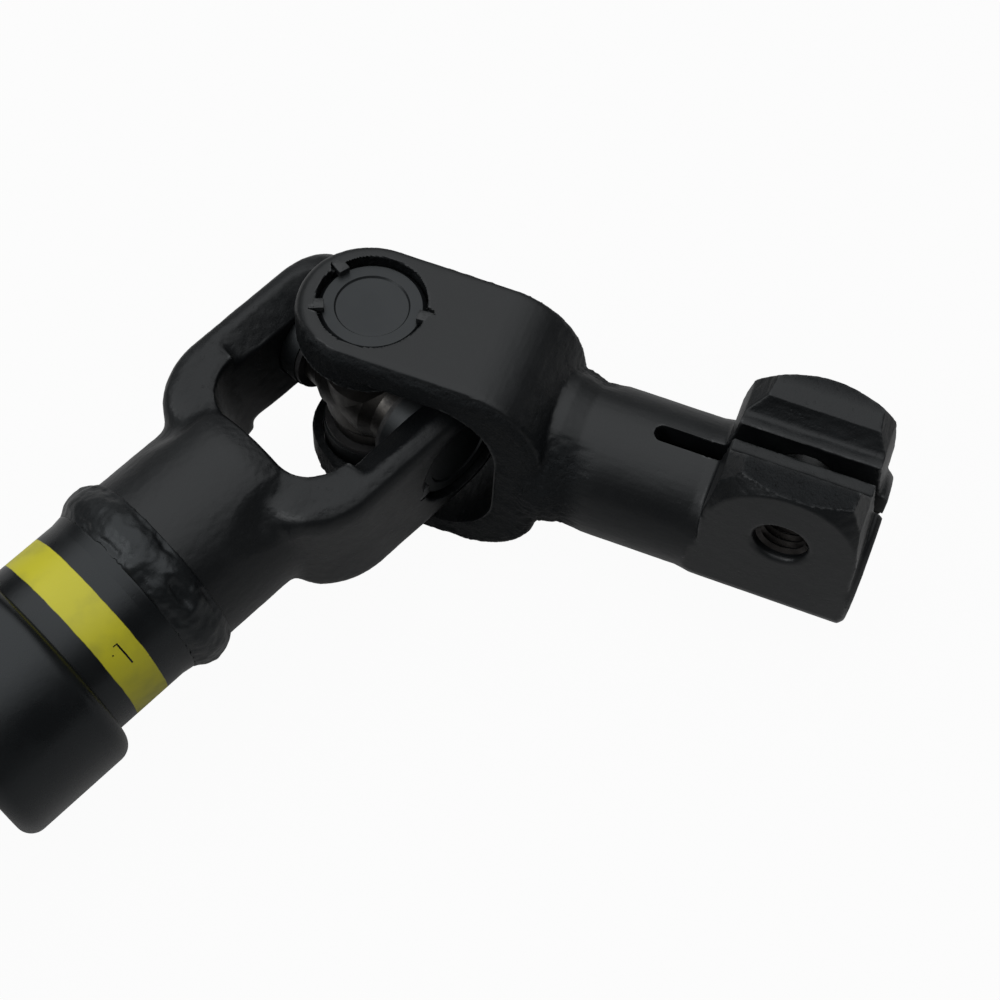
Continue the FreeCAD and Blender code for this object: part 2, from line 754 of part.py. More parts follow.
def makeDustCap():
    # a round-shouldered pressed cap over the tube's open end, turned in to hold the wiper
    outer = "tube_radius + cap_rise"
    bend = "cap_round * (1 - cos(45))"
    rear = Part.Arc(atSection("cap_start", f"{outer} - cap_round"),
                    atSection(f"cap_start + {bend}", f"{outer} - {bend}"),
                    atSection("cap_start + cap_round", outer)).toShape()
    front = Part.Arc(atSection("cap_end - cap_round", outer),
                     atSection(f"cap_end - {bend}", f"{outer} - {bend}"),
                     atSection("cap_end", f"{outer} - cap_round")).toShape()
    wall = Part.makeLine(rear.Vertexes[-1].Point, front.Vertexes[0].Point)
    inside = Part.makePolygon([
        front.Vertexes[-1].Point,
        atSection("cap_end", "spline_tip_radius + wiper_gap + cap_mouth_gap"),
        atSection("cap_end - cap_wall", "spline_tip_radius + wiper_gap + cap_mouth_gap"),
        atSection("cap_end - cap_wall", "cap_seat - cap_lip"),
        atSection("wiper_start", "cap_seat - cap_lip"),
        atSection("wiper_start", "cap_seat"),
        atSection("cap_start", "cap_seat"),
        rear.Vertexes[0].Point,
    ])
    section = Part.Wire([rear, wall, front] + inside.Edges)
    return addFeature("dust_cap", Part.Face(section).revolve(Vector(0, 0, 0), xAxis, 360))


def makeWiper():
    inner = "spline_tip_radius + wiper_gap"
    outer = "cap_seat - cap_lip - cap_fit_gap"
    return addFeature("wiper_seal", turned([
        ("wiper_start", f"{inner} + wiper_lip"),
        ("wiper_start", outer),
        ("wiper_start + wiper_width", outer),
        ("wiper_start + wiper_width", f"{inner} + wiper_lip"),
        ("wiper_start + wiper_width / 2", inner),
    ]))


# Placement of each joint: roll of the tube yoke's trunnions, then tilt, then swing


def turn(axis, degrees):
    return Placement(Vector(0, 0, 0), Rotation(axis, degrees))


def placeJoint(name, base, tilt, swing):
    # base maps the joint's own frame, whose X points away from the tube, to the shaft's
    tubeFrame = base * turn(xAxis, 90) * turn(zAxis, 180)
    crossFrame = base * turn(yAxis, tilt)
    clampFrame = crossFrame * turn(zAxis, swing)
    flip = turn(xAxis, 180)
    makeTubeYoke(f"{name}_tube_yoke").Placement = tubeFrame
    makeCross(f"{name}_cross").Placement = crossFrame
    makeClampYoke(f"{name}_clamp_yoke").Placement = clampFrame
    seats = {"tube_a": tubeFrame, "tube_b": tubeFrame * flip,
             "clamp_top": clampFrame, "clamp_bottom": clampFrame * flip}
    for seat, frame in seats.items():
        makeCup(f"{name}_cup_{seat}").Placement = frame
        makeSeal(f"{name}_seal_{seat}").Placement = frame
        makeNeedles(f"{name}_needles_{seat}").Placement = frame
    return {"place": base.multVec(Vector(0, 0, 0)), "tiltAxis": base.Rotation.multVec(yAxis),
            "swingAxis": crossFrame.Rotation.multVec(zAxis)}


rolled = turn(xAxis, size("joint_roll"))
upperJoint = placeJoint("upper", rolled, size("upper_tilt"), size("upper_swing"))
lowerBase = Placement(Vector(-size("cross_spacing"), 0, 0), Rotation()) * rolled * turn(zAxis, 180)
lowerJoint = placeJoint("lower", lowerBase, size("lower_tilt"), size("lower_swing"))

# The shaft's own pieces are made with X pointing from the upper joint along the tube
shaftFrame = rolled * turn(zAxis, 180)
makeSlipTube().Placement = shaftFrame
makeSlipShaft().Placement = shaftFrame
for name, seam in (("upper_weld_bead", "hub_end"), ("lower_weld_bead", "shaft_end")):
    makeBead(name).Placement = shaftFrame * Placement(Vector(size(seam), 0, 0), Rotation())
makeDustCap().Placement = shaftFrame
makeWiper().Placement = shaftFrame
document.recompute()

# The origin is the middle of the shaft's footprint, on the surface it lies on
pieces = [item for item in document.Objects
          if item.TypeId in ("PartDesign::Body", "Part::Feature") and item.getParentGroup() is None]
whole = FreeCAD.BoundBox()
for piece in pieces:
    whole.add(piece.Shape.optimalBoundingBox(False))
shift = Placement(Vector(-whole.Center.x, -whole.Center.y, -whole.ZMin), Rotation())
for piece in pieces:
    piece.Placement = shift * piece.Placement
document.recompute()

for item in document.Objects:
    if "Invalid" in item.State or "Error" in item.State:
        raise RuntimeError(f"{item.Name} failed: {item.State}")
os.makedirs("parts", exist_ok=True)
for piece in pieces:
    if piece.Shape.isNull() or not piece.Shape.isValid():
        raise RuntimeError(f"{piece.Label} has no valid shape")
    piece.Shape.exportStep(f"parts/{piece.Label}.step")
    print(piece.Label, round(piece.Shape.Volume), len(piece.Shape.Solids), len(piece.Shape.Faces))

for name, joint in (("upper", upperJoint), ("lower", lowerJoint)):
    place = shift.multVec(joint["place"])
    print(name, "joint", [round(value, 4) for value in place],
          "tilt axis", [round(value, 6) for value in joint["tiltAxis"]],
          "swing axis", [round(value, 6) for value in joint["swingAxis"]])
print("size", round(whole.XLength, 2), round(whole.YLength, 2), round(whole.ZLength, 2))
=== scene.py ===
import bpy
import json
import math
import numpy as np
from mathutils import Matrix, Vector


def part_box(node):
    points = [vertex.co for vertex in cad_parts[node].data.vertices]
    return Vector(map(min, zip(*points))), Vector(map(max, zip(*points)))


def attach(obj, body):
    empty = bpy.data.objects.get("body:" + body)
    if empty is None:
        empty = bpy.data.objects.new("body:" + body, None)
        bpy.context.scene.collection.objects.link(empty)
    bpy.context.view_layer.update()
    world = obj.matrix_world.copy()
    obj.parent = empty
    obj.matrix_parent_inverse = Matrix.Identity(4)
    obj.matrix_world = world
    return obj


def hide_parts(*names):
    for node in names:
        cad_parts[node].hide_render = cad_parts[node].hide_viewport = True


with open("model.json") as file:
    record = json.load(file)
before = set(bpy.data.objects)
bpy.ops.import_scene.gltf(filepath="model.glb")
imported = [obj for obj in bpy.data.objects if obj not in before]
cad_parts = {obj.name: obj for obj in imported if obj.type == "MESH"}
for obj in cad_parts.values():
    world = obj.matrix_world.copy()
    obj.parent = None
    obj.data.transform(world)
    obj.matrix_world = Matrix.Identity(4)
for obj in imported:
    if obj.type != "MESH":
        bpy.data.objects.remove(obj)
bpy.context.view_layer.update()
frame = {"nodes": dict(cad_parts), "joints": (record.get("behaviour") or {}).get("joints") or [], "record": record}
nodes = frame["nodes"]
record = frame["record"]
mm = 0.001
ends = ("upper", "lower")
print("frame loaded:", len(nodes), "nodes")


# Where the yokes' own axes lie: X away from the cross, Z along the bearing bores

def named(rows, name):
    return next(row for row in rows if row["name"] == name)


def axesAt(place, along, side):
    up = along.cross(side)
    turn = Matrix((along, side, up)).transposed().to_4x4()
    return Matrix.Translation(place) @ turn


def clampFrame(end):
    place = Vector(named(frame["joints"], end + "_swing")["pos_m"])
    along = Vector(named(record["mounts"], end + "_shaft_clamp")["axis"]).normalized()
    side = -Vector(named(record["mounts"], end + "_bolt_thread")["axis"]).normalized()
    return axesAt(place, along, side)


def tubeFrame(end):
    joint = named(frame["joints"], end + "_tilt")
    along = Vector((-1, 0, 0)) if end == "upper" else Vector((1, 0, 0))
    pin = -Vector(joint["axis"]).normalized()
    return axesAt(Vector(joint["pos_m"]), along, pin.cross(along))


flip = Matrix.Rotation(math.pi, 4, "X")
seats = (Matrix.Identity(4), flip)  # the two ears' bores, in a yoke's own axes
clampBody = {end: end + "_clamp" for end in ends}
tubeBody = {"upper": "tube", "lower": "shaft"}


# Small tools for working on one piece at a time

def deselectAll():
    for other in bpy.context.selected_objects:
        other.select_set(False)


def selectOnly(piece):
    deselectAll()
    piece.select_set(True)
    bpy.context.view_layer.objects.active = piece


def applyModifier(piece, kind, **settings):
    selectOnly(piece)
    modifier = piece.modifiers.new(kind.lower(), kind)
    for name, value in settings.items():
        setattr(modifier, name, value)
    bpy.ops.object.modifier_apply(modifier=modifier.name)


def placed(piece, matrix):  # bakes a place into the mesh, with the object at the origin
    piece.data.transform(matrix @ piece.matrix_basis)
    piece.matrix_basis = Matrix.Identity(4)
    piece.data.update()


def finishPiece(piece, name, body, material):
    piece.name = name
    piece.data.name = name
    piece.data.materials.clear()
    piece.data.materials.append(material)
    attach(piece, body)


def smoothShade(piece, degrees=40):
    selectOnly(piece)
    bpy.ops.object.shade_smooth_by_angle(angle=math.radians(degrees))


def recalculate(piece, distance=1e-6):
    selectOnly(piece)
    bpy.ops.object.mode_set(mode="EDIT")
    bpy.ops.mesh.select_all(action="SELECT")
    bpy.ops.mesh.remove_doubles(threshold=distance)
    bpy.ops.mesh.normals_make_consistent(inside=False)
    bpy.ops.object.mode_set(mode="OBJECT")


# Shared shader effects

def noiseNode(tree, vector, scale, detail=4, rough=0.55):
    node = tree.nodes.new("ShaderNodeTexNoise")
    node.inputs["Scale"].default_value = scale
    node.inputs["Detail"].default_value = detail
    node.inputs["Roughness"].default_value = rough
    tree.links.new(vector, node.inputs["Vector"])
    return node.outputs["Fac"]


def setOrLink(tree, socket, value):
    if isinstance(value, bpy.types.NodeSocket):
        tree.links.new(value, socket)
    elif value is not None:
        socket.default_value = value


def mathNode(tree, operation, first, second=None, third=None, clamp=False):
    node = tree.nodes.new("ShaderNodeMath")
    node.operation = operation
    node.use_clamp = clamp
    for socket, value in zip(node.inputs, (first, second, third)):
        setOrLink(tree, socket, value)
    return node.outputs[0]


def rangeNode(tree, value, low, high, outLow=0.0, outHigh=1.0):
    node = tree.nodes.new("ShaderNodeMapRange")
    node.interpolation_type = "SMOOTHSTEP"
    for label, number in zip(("From Min", "From Max", "To Min", "To Max"), (low, high, outLow, outHigh)):
        node.inputs[label].default_value = number
    tree.links.new(value, node.inputs["Value"])
    return node.outputs["Result"]


def patchNode(tree, vector, patch):  # noise scale, detail, roughness, and where patches begin and are full
    scale, detail, rough, low, high = patch
    return rangeNode(tree, noiseNode(tree, vector, scale, detail, rough), low, high)


def mixColor(tree, factor, first, second):
    node = tree.nodes.new("ShaderNodeMix")
    node.data_type = "RGBA"
    for socket, value in ((node.inputs[0], factor), (node.inputs[6], first), (node.inputs[7], second)):
        setOrLink(tree, socket, value)
    return node.outputs[2]


def newGroup(name, inputs, outputs):
    group = bpy.data.node_groups.new(name, "ShaderNodeTree")
    for label, kind, value in inputs:
        socket = group.interface.new_socket(name=label, in_out="INPUT", socket_type="NodeSocket" + kind)
        if value is not None:
            socket.default_value = value
    for label, kind in outputs:
        group.interface.new_socket(name=label, in_out="OUTPUT", socket_type="NodeSocket" + kind)
    given = group.nodes.new("NodeGroupInput").outputs
    made = group.nodes.new("NodeGroupOutput").inputs
    return group, given, made


coatDetail = {  # patterns as noise scale, detail and roughness, with the patches' range where there is one
    "base": (0.0032, 0.0038, 0.0044, 1),
    "dusty": (0.0065, 0.0075, 0.0082, 1),
    # colour of the convex edges: edge wear and painted highlight
    "wearAndHighlight": (0.048, 0.050, 0.052, 1),
    "smudge": (95.0, 4, 0.6, 0.38, 0.68),
    "smudgeShare": 0.6,
    "edgePatches": (1100.0, 4, 0.7, 0.36, 0.60),
    "grain": (1700.0, 5, 0.6),
    "grainHeight": 1.3,
    "peel": (700.0, 2, 0.45),
    "peelHeight": 0.14,
    "pits": (850.0, 3, 0.5, 0.60, 0.80),
    "pitHeight": -1.4,
    "smudgeDulling": 0.08,    # what each effect adds to the roughness
    "scaleDulling": 0.20,
    "edgeDulling": 0.10,
}


def buildCoatGroup():  # thin black coat: orange peel, forging scale and pits, smudges, and convex edges painted lighter for edge wear and painted highlight
    group, given, made = newGroup("blackCoat", [
        ("Vector", "Vector", None),
        ("Forged", "Float", 0.05),
        ("Edge", "Float", 0.0),
        ("Base", "Color", coatDetail["base"]),
        ("Dusty", "Color", coatDetail["dusty"]),
        ("WearAndHighlight", "Color", coatDetail["wearAndHighlight"]),
        ("Roughness", "Float", 0.34),
    ], [("Color", "Color"), ("Roughness", "Float"), ("Height", "Float")])
    vector = given["Vector"]
    forged = given["Forged"]
    smudge = patchNode(group, vector, coatDetail["smudge"])
    grain = noiseNode(group, vector, *coatDetail["grain"])
    peel = noiseNode(group, vector, *coatDetail["peel"])
    pits = patchNode(group, vector, coatDetail["pits"])
    edgePatches = patchNode(group, vector, coatDetail["edgePatches"])
    # convex edges, broken into patches, take the lighter colour: edge wear and painted highlight
    wearAndHighlight = mathNode(group, "MULTIPLY", given["Edge"], edgePatches)
    dusty = mathNode(group, "MULTIPLY", smudge, coatDetail["smudgeShare"])
    color = mixColor(group, dusty, given["Base"], given["Dusty"])
    color = mixColor(group, wearAndHighlight, color, given["WearAndHighlight"])
    roughness = mathNode(group, "MULTIPLY_ADD", smudge, coatDetail["smudgeDulling"], given["Roughness"])
    roughness = mathNode(group, "MULTIPLY_ADD", forged, coatDetail["scaleDulling"], roughness)
    roughness = mathNode(group, "MULTIPLY_ADD", wearAndHighlight, coatDetail["edgeDulling"], roughness, clamp=True)
    height = mathNode(group, "MULTIPLY", peel, coatDetail["peelHeight"])
    height = mathNode(group, "MULTIPLY_ADD", mathNode(group, "MULTIPLY", grain, forged),
                      coatDetail["grainHeight"], height)
    height = mathNode(group, "MULTIPLY_ADD", mathNode(group, "MULTIPLY", pits, forged),
                      coatDetail["pitHeight"], height)
    for label, value in (("Color", color), ("Roughness", roughness), ("Height", height)):
        group.links.new(value, made[label])
    return group


def newMaterial(name):
    material = bpy.data.materials.new(name)
    material.use_nodes = True
    tree = material.node_tree
    place = tree.nodes.new("ShaderNodeTexCoord").outputs["Object"]
    return material, tree, tree.nodes["Principled BSDF"], place


def bumpInto(tree, shader, height, distance):
    bump = tree.nodes.new("ShaderNodeBump")
    bump.inputs["Distance"].default_value = distance
    tree.links.new(height, bump.inputs["Height"])
    tree.links.new(bump.outputs["Normal"], shader.inputs["Normal"])


def attributeNode(tree, name):
    node = tree.nodes.new("ShaderNodeAttribute")
    node.attribute_name = name
    return node.outputs["Fac"]


coatGroup = buildCoatGroup()

coatTint = (0.90, 0.96, 1.0, 1)  # of the sheen

coatLooks = {  # forged is how scaly the skin is, or None where the mesh says; depth of the relief in metres
    "forgingCoat": {"forged": None, "roughness": 0.36, "shine": 0.17, "film": 0.40, "depth": 0.00028},
    "turnedCoat": {"forged": 0.06, "roughness": 0.24, "shine": 0.36, "depth": 0.00012},
    "cupCoat": {"forged": 0.04, "roughness": 0.40, "shine": 0.44, "depth": 0.00010},
    "weldCoat": {"forged": 0.22, "roughness": 0.30, "shine": 0.36, "depth": 0.00018},
}


def coatMaterial(name):
    look = coatLooks[name]
    material, tree, shader, place = newMaterial(name)
    coat = tree.nodes.new("ShaderNodeGroup")
    coat.node_tree = coatGroup
    tree.links.new(place, coat.inputs["Vector"])
    coat.inputs["Roughness"].default_value = look["roughness"]
    if look["forged"] is None:
        forged = attributeNode(tree, "forged")
        tree.links.new(forged, coat.inputs["Forged"])
        tree.links.new(attributeNode(tree, "edge"), coat.inputs["Edge"])
        film = mathNode(tree, "MULTIPLY_ADD", forged, -look["film"], look["film"], clamp=True)
        tree.links.new(film, shader.inputs["Coat Weight"])  # the smooth parts have it, the scale has none
        shader.inputs["Coat Roughness"].default_value = look["roughness"]
    else:
        coat.inputs["Forged"].default_value = look["forged"]
    shader.inputs["Specular IOR Level"].default_value = look["shine"]
    tree.links.new(coat.outputs["Color"], shader.inputs["Base Color"])
    tree.links.new(coat.outputs["Roughness"], shader.inputs["Roughness"])
    shader.inputs["Specular Tint"].default_value = coatTint
    bumpInto(tree, shader, coat.outputs["Height"], look["depth"])
    return material, tree, shader, coat.outputs, place


forgingCoat = coatMaterial("forgingCoat")[0]
turnedCoat = coatMaterial("turnedCoat")[0]
cupCoat = coatMaterial("cupCoat")[0]
weldCoat = coatMaterial("weldCoat")[0]

bandLook = {  # paint band round the tube, placed along X from the upper cross
    "start": 70.0 * mm,
    "end": 77.4 * mm,
    "ragged": 0.25 * mm,
    "soft": 0.10 * mm,
    "wobble": (200.0, 3, 0.5),
    "streaks": (160.0, 3, 0.5, 0.45, 0.75),
    "dulling": 0.14,          # what the paint adds to the roughness
    "thickness": 0.5,         # and to the relief
    "color": (0.46, 0.43, 0.020, 1),
    "thin": (0.36, 0.34, 0.026, 1),
    "dashes": (  # scratches in the paint: along X, angle about the tube from +Y, and half sizes of both
        (73.1 * mm, 145.0, 0.17 * mm, 7.8),
        (73.5 * mm, 137.4, 0.45 * mm, 0.35),
        (75.0 * mm, 141.3, 0.15 * mm, 0.45),
    ),
}


def bandedTubeMaterial():
    material, tree, shader, coat, place = coatMaterial("turnedCoat")
    material.name = "bandedTube"
    tubeAxis = named(frame["joints"], "upper_tilt")["pos_m"]
    split = tree.nodes.new("ShaderNodeSeparateXYZ")
    tree.links.new(place, split.inputs[0])
    wobble = noiseNode(tree, place, *bandLook["wobble"])
    along = mathNode(tree, "MULTIPLY_ADD", wobble, 2 * bandLook["ragged"], tubeAxis[0] - bandLook["ragged"])
    along = mathNode(tree, "SUBTRACT", along, split.outputs["X"])
    soft = bandLook["soft"]
    rise = rangeNode(tree, along, bandLook["start"] - soft, bandLook["start"] + soft)
    fall = rangeNode(tree, along, bandLook["end"] - soft, bandLook["end"] + soft, 1.0, 0.0)
    band = mathNode(tree, "MULTIPLY", rise, fall)
    across = mathNode(tree, "SUBTRACT", split.outputs["Y"], tubeAxis[1])
    upwards = mathNode(tree, "SUBTRACT", split.outputs["Z"], tubeAxis[2])
    angle = mathNode(tree, "ARCTAN2", upwards, across)
    for dashAlong, dashAngle, halfAlong, halfAngle in bandLook["dashes"]:
        inLength = mathNode(tree, "COMPARE", along, dashAlong, halfAlong)
        inTurn = mathNode(tree, "COMPARE", angle, math.radians(dashAngle), math.radians(halfAngle))
        scratch = mathNode(tree, "MULTIPLY", inLength, inTurn)
        band = mathNode(tree, "SUBTRACT", band, scratch, clamp=True)
    paint = mixColor(tree, patchNode(tree, place, bandLook["streaks"]), bandLook["color"], bandLook["thin"])
    tree.links.new(mixColor(tree, band, coat["Color"], paint), shader.inputs["Base Color"])
    roughness = mathNode(tree, "MULTIPLY_ADD", band, bandLook["dulling"], coat["Roughness"], clamp=True)
    tree.links.new(roughness, shader.inputs["Roughness"])
    height = mathNode(tree, "MULTIPLY_ADD", band, bandLook["thickness"], coat["Height"])
    bumpInto(tree, shader, height, coatLooks["turnedCoat"]["depth"])
    return material


steelDetail = {
    "film": (130.0, 4, 0.6, 0.38, 0.66),   # oil film in patches
    "lineDetail": (5, 0.6),
    "lineDulling": 0.18,
    "filmDulling": 0.12,
    "depth": 0.00003,
}

steelLooks = {  # stretch draws the tool's lines out along X
    "splineSteel": {"base": (0.25, 0.25, 0.255, 1), "dark": (0.19, 0.187, 0.18, 1), "roughness": 0.30,
                    "lines": 900.0, "stretch": (0.12, 1, 1)},
    "crossSteel": {"base": (0.080, 0.076, 0.071, 1), "dark": (0.024, 0.024, 0.025, 1), "roughness": 0.28,
                   "lines": 420.0, "stretch": (1, 1, 1)},
    "threadSteel": {"base": (0.060, 0.056, 0.054, 1), "dark": (0.020, 0.020, 0.021, 1), "roughness": 0.24,
                    "lines": 900.0, "stretch": (1, 1, 1)},
    "needleSteel": {"base": (0.52, 0.52, 0.53, 1), "dark": (0.40, 0.40, 0.41, 1), "roughness": 0.18,
                    "lines": 500.0, "stretch": (1, 1, 1)},
}


def steelMaterial(name):
    look = steelLooks[name]
    material, tree, shader, place = newMaterial(name)
    mapping = tree.nodes.new("ShaderNodeMapping")
    mapping.inputs["Scale"].default_value = look["stretch"]
    tree.links.new(place, mapping.inputs["Vector"])
    lines = noiseNode(tree, mapping.outputs["Vector"], look["lines"], *steelDetail["lineDetail"])
    film = patchNode(tree, place, steelDetail["film"])
    tree.links.new(mixColor(tree, film, look["base"], look["dark"]), shader.inputs["Base Color"])
    shader.inputs["Metallic"].default_value = 1.0
    roughness = mathNode(tree, "MULTIPLY_ADD", lines, steelDetail["lineDulling"], look["roughness"])
    roughness = mathNode(tree, "MULTIPLY_ADD", film, steelDetail["filmDulling"], roughness)
    tree.links.new(roughness, shader.inputs["Roughness"])
    bumpInto(tree, shader, lines, steelDetail["depth"])
    return material


rubberLook = {
    "color": (0.009, 0.009, 0.010, 1),
    "bloomed": (0.020, 0.020, 0.021, 1),
    "bloom": (300.0, 4, 0.6, 0.4, 0.7),
    "roughness": 0.5,
    "bloomDulling": 0.15,
    "grain": (2600.0, 3, 0.5),
    "depth": 0.00004,
}


def rubberMaterial():
    material, tree, shader, place = newMaterial("sealRubber")
    bloom = patchNode(tree, place, rubberLook["bloom"])
    color = mixColor(tree, bloom, rubberLook["color"], rubberLook["bloomed"])
    tree.links.new(color, shader.inputs["Base Color"])
    roughness = mathNode(tree, "MULTIPLY_ADD", bloom, rubberLook["bloomDulling"], rubberLook["roughness"])
    tree.links.new(roughness, shader.inputs["Roughness"])
    bumpInto(tree, shader, noiseNode(tree, place, *rubberLook["grain"]), rubberLook["depth"])
    return material


bandedTube = bandedTubeMaterial()
splineSteel = steelMaterial("splineSteel")
crossSteel = steelMaterial("crossSteel")
threadSteel = steelMaterial("threadSteel")
needleSteel = steelMaterial("needleSteel")
sealRubber = rubberMaterial()
print("materials made")


# The CAD nodes that stay as they are take these finishes

def finishFor(name):
    if "seal" in name:
        return sealRubber
    if "needles" in name:
        return needleSteel
    if name.endswith("_cross"):
        return crossSteel
    if "cup" in name:
        return cupCoat
    if "weld" in name:
        return weldCoat
    turned = {"slip_shaft": splineSteel, "slip_tube": bandedTube, "dust_cap": turnedCoat}
    return turned.get(name, forgingCoat)


for name, node in nodes.items():
    node.data.materials.clear()
    node.data.materials.append(finishFor(name))


# Forged yokes: a copy of the solid with die-rounded edges, scaly skin and punched stakes

forging = {
    "voxel": 0.36 * mm,
    "relax": 2,
    "faces": 180000,          # triangles left after thinning out the flat parts
    "scaleSize": 1.3 * mm,
    "scaleDepth": 0.70 * mm,
    "swellSize": 7.0 * mm,
    "swellDepth": 0.34 * mm,
    "swellShare": 2,          # the swelling reaches full depth at half the scale's mask
    "edgeGain": 0.00080,      # turns the edges' curvature into how much lighter colour they take, for edge wear and painted highlight
    "edgeRange": (0.25, 1.0),
    "edgeBlur": 2,
    "maskSteps": 24,
    "sharpAngle": 50,
}

clampZones = {  # where each kind of skin fades: mm in the yoke's axes, or how far the surface faces a way
    "sideFacing": (0.35, 0.75),
    "sideEnd": (44, 50),
    "shoulderFacing": (0.4, 0.8),
    "shoulderEnd": (40, 44),
    "shoulderRise": (14, 17),
    "shoulderScale": 0.45,
    "lugStart": (66, 70),
    "crownFacing": (0.6, 0.85),
    "crownRise": (27.0, 28.2),
    "crownScale": 0.9,
    "slopeFacing": (0.9, 0.99),
    "slopeRise": (16, 20),
    "slopeScale": 0.30,
    "insideFacing": (0.3, 0.8),
    "insideEnd": (30, 36),
    "insideScale": 0.5,
    "neckScale": 0.10,
}

clampTrim = {  # mm in the clamp yoke's axes
    "earThinning": 0.42,      # share taken off the wall round the end of the lower ear
    "earEnd": (0, 8),
    "earSide": (12, 15),
    "crownDrop": 1.0 * mm,    # the plain lug is lower than the tapped one
    "crownRise": (20, 28),
    "crownSide": (2, 6),
    "crownStart": (60, 66),
}

tubeZones = {
    "sideFacing": (0.6, 0.95),
    "sideEnd": (30, 40),
    "sideScale": 0.35,
    "hubScale": 0.14,
}

arm = {  # mm in the tube yoke's axes
    "relax": 70,              # more rounding along the outer edges of the arms
    "start": (13, 20),
    "end": (40, 46),
    "edgeAcross": (9, 12),
    "edgeOut": (17, 20),
    "hubReach": (12, 15),
    "scoopPlace": (36.0, 13.2, 14.2),   # where each arm's edge dies out on the hub
    "scoopStretch": 0.6,
    "scoopReach": 6.5,
    "scoopDepth": 1.3 * mm,
}

stake = {  # a tongue of the ear's metal, punched over the cup's rim
    "angles": (147.6, -154.6, 3.3),
    "boreRadius": 10.35 * mm,
    "earFace": 25.4 * mm,
    "cupEnd": 22.6 * mm,
    "width": 2.3 * mm,
    "reachIn": 1.4 * mm,
    "reachOut": 1.5 * mm,
    "sink": 0.08 * mm,
    "round": 0.16 * mm,
    # how much of the lighter edge colour the tongues take, for edge wear and painted highlight
    "tongueWearHighlight": 0.3,
    "notchWidth": 1.1 * mm,   # the wedge that the punch leaves beside the tongue
    "notchDepth": 1.0 * mm,
    "notchReach": 1.6 * mm,
    "notchTaper": 0.25,
    "overlap": 0.2 * mm,
}


def smoothStep(low, high, value):
    share = np.clip((value - low) / (high - low), 0, 1)
    return share * share * (3 - 2 * share)


def fadeOut(span, value):
    return 1 - smoothStep(*span, value)


def clampSkin(place, normal):  # 1 where the clamp yoke keeps its forged skin, 0 where it is milled or turned
    x, y, z = place.T
    zone = clampZones
    across = np.abs(normal[:, 1])
    side = smoothStep(*zone["sideFacing"], across) * fadeOut(zone["sideEnd"], x)
    shoulder = zone["shoulderScale"] * smoothStep(*zone["shoulderFacing"], normal[:, 0])
    shoulder = shoulder * fadeOut(zone["shoulderEnd"], x) * smoothStep(*zone["shoulderRise"], np.hypot(y, z))
    lugs = smoothStep(*zone["lugStart"], x)
    crown = zone["crownScale"] * smoothStep(*zone["crownRise"], z)
    crown = crown * smoothStep(*zone["crownFacing"], normal[:, 2]) * lugs
    slopes = zone["slopeScale"] * smoothStep(*zone["slopeRise"], z) * lugs
    slopes = slopes * fadeOut(zone["slopeFacing"], across)
    inwards = -normal[:, 2] * np.sign(z)
    inside = zone["insideScale"] * smoothStep(*zone["insideFacing"], inwards) * fadeOut(zone["insideEnd"], x)
    neck = np.full_like(x, zone["neckScale"])
    return np.maximum.reduce([side, shoulder, crown, neck, slopes, inside])


def tubeSkin(place, normal):
    x = place[:, 0]
    side = tubeZones["sideScale"] * smoothStep(*tubeZones["sideFacing"], np.abs(normal[:, 1]))
    return np.maximum(side * fadeOut(tubeZones["sideEnd"], x), np.full_like(x, tubeZones["hubScale"]))


def readVectors(mesh, name):
    values = np.empty(len(mesh.vertices) * 3, np.float32)
    mesh.vertices.foreach_get(name, values)
    return values.reshape(-1, 3)


def addWeights(piece, name, weights):
    levels = forging["maskSteps"]
    group = piece.vertex_groups.new(name=name)
    steps = np.rint(np.clip(weights, 0, 1) * levels).astype(int)
    for step in range(1, levels + 1):
        group.add(np.flatnonzero(steps == step).tolist(), step / levels, "REPLACE")


def addAttribute(mesh, name, values):
    layer = mesh.attributes.new(name, "FLOAT", "POINT")
    layer.data.foreach_set("value", values.astype(np.float32))


def edgeMask(mesh):  # how sharply the surface turns outwards at each point
    place = readVectors(mesh, "co")
    normal = readVectors(mesh, "normal")
    pairs = np.empty(len(mesh.edges) * 2, np.int32)
    mesh.edges.foreach_get("vertices", pairs)
    a, b = pairs.reshape(-1, 2).T

    def gathered(atA, atB):  # sums what the edges bring to each point
        return np.bincount(a, atA, len(place)) + np.bincount(b, atB, len(place))

    along = place[b] - place[a]
    squares = np.maximum(np.einsum("ij,ij->i", along, along), 1e-12)
    turn = np.einsum("ij,ij->i", normal[b] - normal[a], along) / squares
    count = np.bincount(pairs, minlength=len(place))
    curve = gathered(turn, turn) / count
    for blur in range(forging["edgeBlur"]):
        curve = 0.5 * curve + 0.5 * gathered(curve[b], curve[a]) / count
    return smoothStep(*forging["edgeRange"], curve * forging["edgeGain"])


def displace(piece, name, kind, size, strength, group, **texture):
    pattern = bpy.data.textures.new(name, kind)
    pattern.noise_scale = size
    for label, value in texture.items():
        setattr(pattern, label, value)
    applyModifier(piece, "DISPLACE", texture=pattern, strength=-strength, mid_level=0.0, vertex_group=group,
                  texture_coords="LOCAL")
    bpy.data.textures.remove(pattern)


def addBlock(size, centre, matrix, taper=1.0):  # taper narrows the far end in X
    deselectAll()
    bpy.ops.mesh.primitive_cube_add(size=1, location=(0, 0, 0))
    block = bpy.context.active_object
    for vertex in block.data.vertices:
        if vertex.co.x > 0:
            vertex.co.y = (vertex.co.y + 0.5) * taper - 0.5
    block.matrix_basis = Matrix.Translation(centre) @ Matrix.Diagonal((*size, 1))
    placed(block, matrix)
    return block


